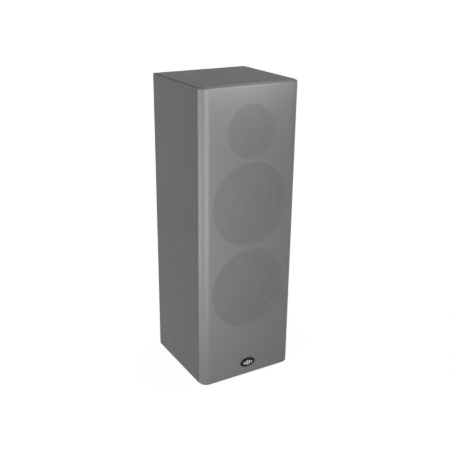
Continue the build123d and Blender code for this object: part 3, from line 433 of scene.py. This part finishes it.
# %% [markdown]
# The grille cloth is one piece of stretched knit, pulled over the front of a frame, round its
# rolled sides and over its ends, and glued behind. It could be the solid's own skin, but a solid
# skin has no weave to follow and no give: real cloth sinks very slightly where nothing is behind
# it. So it is drawn as flat panels that wrap: the front and sides, a quarter-round at each end,
# a flap over each end, and strips that fold behind, cut at 45 degrees at the corners.

# %% The cloth's outline
cloth_low, cloth_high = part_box("grille_cloth")
half_width = cloth_high.x
fold_stand = mm(0.3)  # the folded strips lie on the frame's back, so they stand off it by their own thickness
cloth_front, cloth_back = cloth_low.y, cloth_high.y + fold_stand
cloth_bottom, cloth_top = cloth_low.z, cloth_high.z
corner_radius = mm(17)
end_round = mm(3.6)
fold_width = mm(9)
corner_depth = cloth_back - cloth_front
straight = half_width - corner_radius

turn = np.linspace(0, math.pi / 2, 15)
across = np.linspace(-straight, straight, 100)[1:-1]
left_x = -straight - corner_radius * np.cos(turn)
outline = np.concatenate(
    [
        np.stack([left_x, cloth_back - corner_depth * np.sin(turn)], -1),
        np.stack([across, np.full(len(across), cloth_front)], -1),
        np.stack([-left_x[::-1], cloth_back - corner_depth * np.sin(turn[::-1])], -1),
    ]
)
outward = np.concatenate(
    [
        np.stack([-np.cos(turn), -np.sin(turn)], -1),
        np.stack([0 * across, 0 * across - 1], -1),
        np.stack([np.cos(turn[::-1]), -np.sin(turn[::-1])], -1),
    ]
)
steps = np.linalg.norm(np.diff(outline, axis=0), axis=1)
girth = np.concatenate([[0], np.cumsum(steps)])
girth -= girth[-1] / 2
print("cloth is", round(1000 * (girth[-1] - girth[0])), "mm round the front, plus the folds")

# %% [markdown]
# Where a driver's window is cut in the frame, the cloth spans air. It sinks there by less than
# half a millimetre, most in the middle, which is what makes the three discs just visible.

# %% Windows behind the cloth
windows = ((mm(518), mm(52)), (mm(377), mm(83)), (mm(202), mm(83)))
sink = mm(0.45)


def sunk(x, z):
    """Depth below the flat: sink times the square of the cosine of a quarter turn at the window's edge."""
    total = np.zeros(np.broadcast(x, z).shape)
    for centre, radius in windows:
        share = np.minimum(np.hypot(x, z - centre) / radius, 1)
        total += sink * np.cos(share * math.pi / 2) ** 2
    return total


print("deepest sink", round(1000 * float(sunk(np.zeros(1), np.full(1, mm(377))).max()), 2), "mm")


# %% [markdown]
# Each panel is the same outline moved in a different way: rolled over at an end, run back across
# it, or turned in behind. The panels share their edges, so the merged sheet has no seam to gape.
# Flat-cloth lengths go along with the points, and they become the UV map.


# %% The cloth's panels
def placed(x, y, z, u, v):
    """Points and flat-cloth coordinates broadcast to one grid."""
    x, y, z, u, v = np.broadcast_arrays(x, y, z, u, v)
    return np.stack([x, y, z], -1), np.stack([u, v], -1)


def end_panels(top):
    """Quarter-round, end flap and fold for the top, or mirrored for the bottom."""
    sign = 1 if top else -1
    edge = cloth_top if top else cloth_bottom
    bend = np.linspace(0, math.pi / 2, 8)[:, None]
    inward = end_round * (1 - np.cos(bend))
    x = outline[:, 0] - outward[:, 0] * inward
    y = outline[:, 1] - outward[:, 1] * inward
    z = edge - sign * end_round * (1 - np.sin(bend))
    flat_edge = edge - sign * end_round
    rolled = placed(x, y, z, girth, flat_edge + sign * end_round * bend)
    share = np.linspace(0, 1, 12)[:, None]
    last_x, last_y = x[-1], y[-1]
    flap_start = flat_edge + sign * end_round * math.pi / 2
    run = cloth_back - last_y
    flap = placed(last_x, last_y + run * share, edge, girth, flap_start + sign * run * share)
    reach = np.minimum(fold_width, half_width - end_round - np.abs(last_x)) * share[::3]
    fold = placed(last_x, cloth_back, edge - sign * reach, girth, flap_start + sign * (run + reach))
    panels = [rolled, flap, fold]
    return panels if top else [(grid[::-1], uv[::-1]) for grid, uv in panels]


def side_fold(side):
    """Strip glued behind the frame; its width dies away to nothing at each end."""
    z = levels[:, None]
    width = np.minimum(fold_width, np.minimum(z - levels[0], levels[-1] - z))
    share = np.linspace(0, 1, 5)[None, ::-side]
    x = side * (half_width - width * share)
    return placed(x, cloth_back, z, side * (girth[-1] + width * share), z)


levels = np.linspace(cloth_bottom + end_round, cloth_top - end_round, 320)
front_x, front_y = outline[:, 0], outline[:, 1]
heights = levels[:, None]
is_flat = front_y <= cloth_front + mm(0.01)
front = placed(front_x, front_y + sunk(front_x, heights) * is_flat, heights, girth, heights)
cloth = surface(
    "grille_cloth_stretched",
    [front, *end_panels(True), *end_panels(False), side_fold(-1), side_fold(1)],
    closed=False,
    sharp=60,
)
finish_piece(cloth, "grille", "grille_cloth", "grille_cloth")

# %% [markdown]
# Everything in a driver is round, so each of its pressed or moulded pieces is a profile turned
# about the driver's axis. The profile is drawn as radius against depth, and the turn closes on
# itself. A lathe-like Screw modifier would do the same; the array gives exact UVs as well.


# %% Turn a profile about a driver's axis
cabinet_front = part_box("front_baffle")[0].y


def turned(name, profile, centre_z, segments=128):
    """Point (r, d) becomes (r cos a, front + d, centre + r sin a); the last column meets the first."""
    profile = np.asarray(profile, float)
    closed = np.vstack([profile, profile[:1]])
    angle = np.linspace(0, 2 * math.pi, segments + 1)[None, :]
    angle[0, -1] = 0
    r, d = mm(closed[:, :1]), mm(closed[:, 1:])
    walk = np.concatenate([[0], np.cumsum(np.linalg.norm(np.diff(closed, axis=0), axis=1))])[:, None]
    around = np.linspace(0, 2 * math.pi, segments + 1)[None, :] * mm(profile[:, 0].max())
    grid = placed(r * np.cos(angle), cabinet_front + d, centre_z + r * np.sin(angle), around, mm(walk))
    return surface(name, [grid])


def arc(centre_r, centre_d, radius, start, end, count):
    """Points on a circle, angles in degrees from the outward radius towards the back."""
    angle = np.radians(np.linspace(start, end, count))
    return np.stack([centre_r + radius * np.cos(angle), centre_d + radius * np.sin(angle)], -1)


# %% [markdown]
# A woofer's surround is a half roll of rubber that lets the cone travel. Its outer lip is glued
# to the chassis and its inner lip to the cone, so when the cone moves only the roll changes
# shape.


# %% Pieces that bend between the cabinet and a moving cone
def bend_by_radius(made, body, centre_z, fixed, moving):
    """Share 0 outside the fixed radius, 1 inside the moving one, 3t squared - 2t cubed between."""
    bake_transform(made, "cabinet", body, (0, 0, centre_z), (0, -mm(1), centre_z))
    mesh = made.data
    points = np.empty(len(mesh.vertices) * 3, np.float32)
    mesh.vertices.foreach_get("co", points)
    points = points.reshape(-1, 3)
    radius = np.hypot(points[:, 0], points[:, 2] - centre_z)
    t = np.clip((mm(fixed) - radius) / mm(fixed - moving), 0, 1)
    mesh.attributes["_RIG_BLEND"].data.foreach_set("value", (t * t * (3 - 2 * t)).astype(np.float32))


roll_centre, roll_radius, rubber = 59.0, 5.4, 0.8
surround_profile = np.vstack(
    [
        [(72.0, 0.0)],
        arc(roll_centre, 0, roll_radius, 0, -180, 25),
        [(49.2, 0.0), (49.2, rubber), (roll_centre - roll_radius + rubber, rubber)],
        arc(roll_centre, 0, roll_radius - rubber, -180, 0, 25),
        [(roll_centre + roll_radius - rubber, rubber), (72.0, rubber)],
    ]
)
woofers = {"woofer_upper": mm(377), "woofer_lower": mm(202)}
for body, centre_z in woofers.items():
    roll = turned(f"{body}_rubber_roll", surround_profile, centre_z)
    finish_piece(roll, None, "soft_rubber", f"{body}_surround")
    bend_by_radius(roll, body, centre_z, roll_centre + roll_radius, roll_centre - roll_radius)

# %% [markdown]
# Behind the cone a corrugated disc of resin-dipped cotton, the spider, keeps the coil centred.
# It is pressed hot between ribbed plates, so its section is a wave of even depth.

# %% The spiders
spider_depth, wave_height, wave_start, wave_end, waves_across = 28.1, 1.2, 15.2, 40.0, 4
spider_r = np.concatenate([[13.2], np.linspace(wave_start, wave_end, 97), [49.0]])
phase = np.clip((spider_r - wave_start) / (wave_end - wave_start), 0, 1)
spider_mid = spider_depth - wave_height * np.sin(2 * math.pi * waves_across * phase)
front_skin = np.stack([spider_r, spider_mid - 0.3], -1)
back_skin = np.stack([spider_r, spider_mid + 0.3], -1)[::-1]
for body, centre_z in woofers.items():
    disc = turned(f"{body}_pressed_spider", np.vstack([front_skin, back_skin]), centre_z)
    finish_piece(disc, None, "spider_cloth", f"{body}_spider")
    bend_by_radius(disc, body, centre_z, wave_end, wave_start)

# %% [markdown]
# The cone is paper pulp drawn on to a mould and pressed dry. Three shallow rings pressed in it
# stiffen it. The dust cap is a thin dome glued over the coil.

# %% Cones and dust caps
shoulder, neck_radius, cone_drop, paper = 48.5, 13.2, 23.2, 1.1
cone_r = np.linspace(shoulder, neck_radius, 90)
ribs = sum(0.3 * np.exp(-(((cone_r - ring) / 0.9) ** 2)) for ring in (42.0, 35.0, 28.0))
cone_d = rubber + cone_drop * (shoulder - cone_r) / (shoulder - neck_radius)
cone_profile = np.vstack(
    [
        [(54.0, rubber)],
        np.stack([cone_r, cone_d - ribs * (cone_r < 46)], -1),
        np.stack([cone_r, cone_d + paper - ribs * (cone_r < 46)], -1)[::-1],
        [(54.0, rubber + paper)],
    ]
)
cap_rim, cap_rise, cap_wall, dome_points = 20.0, 6.5, 0.6, 24
cap_depth = rubber + cone_drop * (shoulder - cap_rim) / (shoulder - neck_radius)


def dome(rim, rim_depth, rise, thickness):
    """Two circular arcs from the rim to the axis; the radius is (rim squared + rise squared) / (2 rise)."""
    radius = (rim**2 + rise**2) / (2 * rise)
    centre = rim_depth - rise + radius
    edge = math.degrees(math.asin((radius - rise) / radius))
    outer = arc(0, centre, radius, -edge, -90, dome_points)
    inner_edge = math.degrees(math.acos(rim / radius))
    inner = arc(0, centre, radius - thickness, -90, -inner_edge, dome_points)
    outer[-1, 0] = inner[0, 0] = 0
    return np.vstack([outer, inner])


for body, centre_z in woofers.items():
    cone = turned(f"{body}_paper_cone", cone_profile, centre_z)
    finish_piece(cone, body, "paper_cone", f"{body}_cone")
    cap = turned(f"{body}_moulded_cap", dome(cap_rim, cap_depth, cap_rise, cap_wall), centre_z)
    finish_piece(cap, body, "cap_plastic", f"{body}_dust_cap")

# %% [markdown]
# The tweeter is the same idea in miniature: a silk dome on its coil, with a roll only 3 mm
# across between it and the clamped rim.

# %% The silk dome and its roll
tweeter_z = mm(518)
silk, silk_face, small_roll, small_centre = 0.4, 6.0, 1.5, 14.4
silk_dome = turned("tweeter_silk_dome", dome(12.7, silk_face, 5.0, silk), tweeter_z, 96)
finish_piece(silk_dome, "tweeter", "silk_dome", "tweeter_dome")
small_profile = np.vstack(
    [
        [(20.0, silk_face)],
        arc(small_centre, silk_face, small_roll, 0, -180, 19),
        [(12.7, silk_face), (12.7, silk_face + silk), (small_centre - small_roll + silk, silk_face + silk)],
        arc(small_centre, silk_face, small_roll - silk, -180, 0, 19),
        [(small_centre + small_roll - silk, silk_face + silk), (20.0, silk_face + silk)],
    ]
)
silk_roll = turned("tweeter_silk_roll", small_profile, tweeter_z, 96)
finish_piece(silk_roll, None, "silk_dome", "tweeter_surround")
bend_by_radius(silk_roll, "tweeter", tweeter_z, small_centre + small_roll, small_centre - small_roll)

# %% [markdown]
# The oval badge is a moulded plate under black lacquer. Its rim is a true quarter-round, so that
# it catches a thin line of light, and its face is flat, to carry the metal bars. Scaling a
# sphere would be quicker, but it would leave no flat face.

# %% The badge's plate
badge_low, badge_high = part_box("badge")
badge_centre_z = (badge_low.z + badge_high.z) / 2
badge_rim = mm(1.1)
lean = np.linspace(0, math.pi / 2, 12)
half_tall = badge_high.z - badge_centre_z
to_middle = np.linspace(badge_rim, half_tall, 8)[1:]
shrink = np.concatenate([[0], badge_rim * (1 - np.cos(lean)), to_middle])
rim_y = badge_low.y + badge_rim * (1 - np.sin(lean))
forward = np.concatenate([[badge_high.y], rim_y, np.full(len(to_middle), badge_low.y)])
spin = np.linspace(0, 2 * math.pi, 129)[None, :]
spin[0, -1] = 0
spin_uv = spin / 100  # the lacquer has no pattern, so its UV only needs a size
keep = 1 - shrink[:, None] / half_tall
rim_x = (badge_high.x - shrink[:, None]) * (keep > 0)
rim_z = badge_centre_z + half_tall * keep * np.sin(spin)
face = placed(rim_x * np.cos(spin), forward[:, None], rim_z, spin_uv, shrink[:, None])
inwards = np.linspace(1, 0, 2)[:, None]
back_z = badge_centre_z + half_tall * inwards * np.sin(spin)
back = placed(badge_high.x * inwards * np.cos(spin), badge_high.y, back_z, spin_uv, 0)
badge_plate = surface("badge_lacquered_plate", [face, back])
finish_piece(badge_plate, "grille", "badge_gloss", "badge")

# %% [markdown]
# Wool felt lines the walls and soaks up echoes. A needled sheet has soft, slightly swollen
# faces and no sharp edge anywhere, so each of the four is a pillow with steep sides, flat where
# it is glued to the wall.

# %% The damping felt
felt_low, felt_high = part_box("damping_felt")
brace_low, brace_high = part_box("window_brace")
felt_thickness = mm(8)
felt_gap = mm(10)
spans = ((felt_low.z, brace_low.z - felt_gap), (brace_high.z + felt_gap, felt_high.z))
down, along = np.linspace(-1, 1, 90)[:, None], np.linspace(-1, 1, 60)[None, :]


def felt_sheet(name, side, span):
    """Thickness is full times (1 - y to the 16)(1 - z to the 40) to the power 1/4, less a small waviness."""
    y = (felt_low.y + felt_high.y) / 2 + (felt_high.y - felt_low.y) / 2 * along
    z = (span[0] + span[1]) / 2 + (span[1] - span[0]) / 2 * down
    swell = np.maximum((1 - along**16) * (1 - down**40), 0) ** 0.25
    waves = 0.03 * (2 + np.sin(y * 90 + 2 * np.sin(z * 31)) + np.sin(z * 70 + side))
    wall = side * felt_high.x
    face = placed(wall - side * felt_thickness * swell * (1 - waves), y, z, y, z)
    back = placed(wall, y, z, y, z)
    return surface(name, [face, back], sharp=70)


for side, where in ((-1, "left"), (1, "right")):
    for level, span in zip(("lower", "upper"), spans):
        felt = felt_sheet(f"felt_{where}_{level}", side, span)
        finish_piece(felt, "cabinet", "wool_felt", "damping_felt")

# %% [markdown]
# A product picture is taken on a sheet of white that is lit so strongly that it vanishes. A
# floor that glows a little does the same here, and it also lights the cabinet from below, as the
# real sheet would. It is one large square, because a satin surface shows where the floor ends.

# %% Floor
floor_reach, floor_glow = 40.0, 0.85
square = [(-1, -1, 0), (1, -1, 0), (1, 1, 0), (-1, 1, 0)]
floor_mesh = bpy.data.meshes.new("studio_floor")
floor_mesh.from_pydata([[floor_reach * value for value in corner] for corner in square], [], [(0, 1, 2, 3)])
floor = bpy.data.objects.new("studio_floor", floor_mesh)
bpy.context.scene.collection.objects.link(floor)
floor_mesh.materials.append(
    grained(
        "pale studio floor",
        "#f4f4f4",
        "#f8f8f8",
        400.0,
        0.0,
        (0.85, 0.95),
        Emission_Color=linear("#ffffff"),
        Emission_Strength=floor_glow,
    )
)
print("floor is", 2 * floor_reach, "m across")

# %% [markdown]
# The grille is brightest at its left and fades to the right, while the cabinet beside it stays
# flat and a tone darker. A photographer would mask the lamps with black cards to get that. In
# Blender a light can be linked to the pieces it may reach. So a long strip stands to the left, a
# thin one beside the rounded edge and a short one over the top, and all three light only the
# grille.


# %% Strip lights on the grille
def strip_light(name, place, aim, width, tall, watts):
    """Rectangular area light at a place, turned to face its aim, and out of the camera's sight."""
    data = bpy.data.lights.new(name, "AREA")
    data.shape, data.size, data.size_y, data.energy = "RECTANGLE", width, tall, watts
    light = bpy.data.objects.new(name, data)
    light.location = place
    light.rotation_euler = (Vector(aim) - Vector(place)).to_track_quat("-Z", "Y").to_euler()
    light.visible_camera = False
    bpy.context.scene.collection.objects.link(light)
    return light


grille_only = bpy.data.collections.new("lit_by_the_strips")
for piece in (cloth, badge_plate, frame["nodes"]["badge_bars"], frame["nodes"]["grille_frame"]):
    grille_only.objects.link(piece)
for light in (
    # name, place and aim in metres, width, height, power in watts
    strip_light("strip_left", (-0.25, -0.50, 0.33), (-0.06, -0.1, 0.33), 0.08, 0.80, 6.9),
    strip_light("strip_edge", (-0.50, 0.04, 0.30), (-0.1, -0.08, 0.30), 0.03, 0.7, 3.0),
    strip_light("strip_above", (0.0, -0.17, 0.65), (0.0, -0.1, 0.59), 0.20, 0.02, 0.33),
):
    light.light_linking.receiver_collection = grille_only

# %% [markdown]
# Everything else comes from the room. A satin surface shows whatever stands opposite it: the
# sides face the horizon and the top faces the ceiling. So the room is white round the horizon and
# dark overhead, which keeps the top a dark, even grey. One ramp over height does both.

# %% The room
horizon_ends, ceiling_starts = 0.22, 0.40
horizon_tone, ceiling_tone, room_strength = "#ffffff", "#303030", 1.45
world = bpy.data.worlds.new("studio_room")
bpy.context.scene.world = world
world.use_nodes = True
sky = add(world.node_tree, "ShaderNodeTexCoord")
split = add(world.node_tree, "ShaderNodeSeparateXYZ", {"Vector": sky.outputs["Generated"]})
fade = (horizon_ends, horizon_tone), (ceiling_starts, ceiling_tone)
dimmed = add(world.node_tree, "ShaderNodeValToRGB", {"Fac": split.outputs["Z"]}, fade)
background = world.node_tree.nodes["Background"]
world.node_tree.links.new(dimmed.outputs["Color"], background.inputs["Color"])
background.inputs["Strength"].default_value = room_strength
bpy.context.scene.view_settings.view_transform = "Standard"
print("room goes from", horizon_tone, "at the horizon to", ceiling_tone, "overhead")

# %% [markdown]
# The camera stands to the left and a little above, as a product picture is usually taken, and
# close enough that the cabinet's sides converge.

# %% Camera
camera_place = (-0.6850, -1.18425, 0.8218)
camera_turn = (-30.23, -20.933, -0.536)  # yaw, pitch and roll in degrees
camera_data = bpy.data.cameras.new("studio_camera")
camera_data.sensor_width, camera_data.lens = 36.0, 56.71
camera = bpy.data.objects.new("studio_camera", camera_data)
bpy.context.scene.collection.objects.link(camera)
yaw, pitch, roll = (math.radians(angle) for angle in camera_turn)
rotation = Matrix.Rotation(yaw, 4, "Z") @ Matrix.Rotation(pitch, 4, "X") @ Matrix.Rotation(roll, 4, "Y")
rotation = rotation @ Matrix.Rotation(math.pi / 2, 4, "X")
camera.matrix_world = Matrix.Translation(camera_place) @ rotation
bpy.context.scene.camera = camera
print("camera stands", round(Vector(camera_place).length, 2), "m from the origin")
